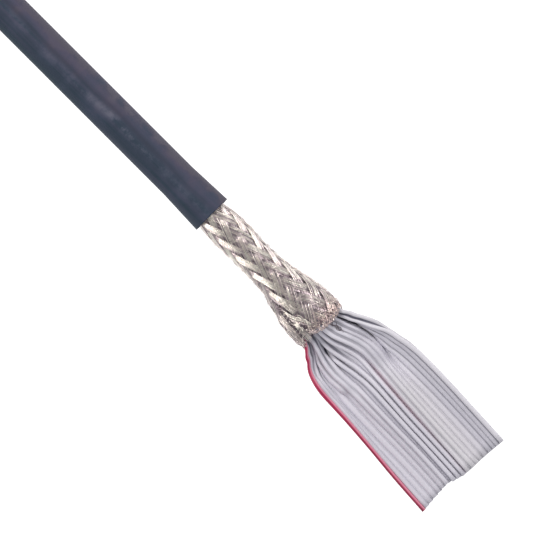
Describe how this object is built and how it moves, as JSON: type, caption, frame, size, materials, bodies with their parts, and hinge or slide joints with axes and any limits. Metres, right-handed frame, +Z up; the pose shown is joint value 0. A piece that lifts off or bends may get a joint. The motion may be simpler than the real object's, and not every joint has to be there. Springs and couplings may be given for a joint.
{
  "type": "shielded ribbon cable",
  "caption": "Round shielded cable cut in steps: dark jacket, tinned braided shield, and a flat ribbon cable with a red edge that unfolds from the shield.",
  "frame": {"origin": "on the table under the middle of the cable's bounding box", "axes": "+X from the plain cut end of the jacket to the flat end of the ribbon, +Z up from the table it lies on, +Y to the side away from the red edge"},
  "size_m": [0.1374, 0.0202, 0.0078],
  "materials": {
    "jacket_pvc": "matte dark slate PVC",
    "tinned_braid": "tinned copper wire, bright",
    "ribbon_pvc": "pale lavender grey PVC, satin",
    "red_pvc": "crimson PVC, satin",
    "copper_strand": "bare stranded copper"
  },
  "bodies": {
    "root": {"outer_jacket": "jacket_pvc", "braid_shield": "tinned_braid", "ribbon_insulation": "ribbon_pvc", "red_edge_insulation": "red_pvc", "conductor_01": "copper_strand", "conductor_02": "copper_strand", "conductor_03": "copper_strand", "conductor_04": "copper_strand", "conductor_05": "copper_strand", "conductor_06": "copper_strand", "conductor_07": "copper_strand", "conductor_08": "copper_strand", "conductor_09": "copper_strand", "conductor_10": "copper_strand", "conductor_11": "copper_strand", "conductor_12": "copper_strand", "conductor_13": "copper_strand", "conductor_14": "copper_strand", "conductor_15": "copper_strand", "conductor_16": "copper_strand", "conductor_17": "copper_strand", "conductor_18": "copper_strand", "conductor_19": "copper_strand", "conductor_20": "copper_strand", "conductor_21": "copper_strand", "conductor_22": "copper_strand", "conductor_23": "copper_strand", "conductor_24": "copper_strand"}
  },
  "joints": []
}
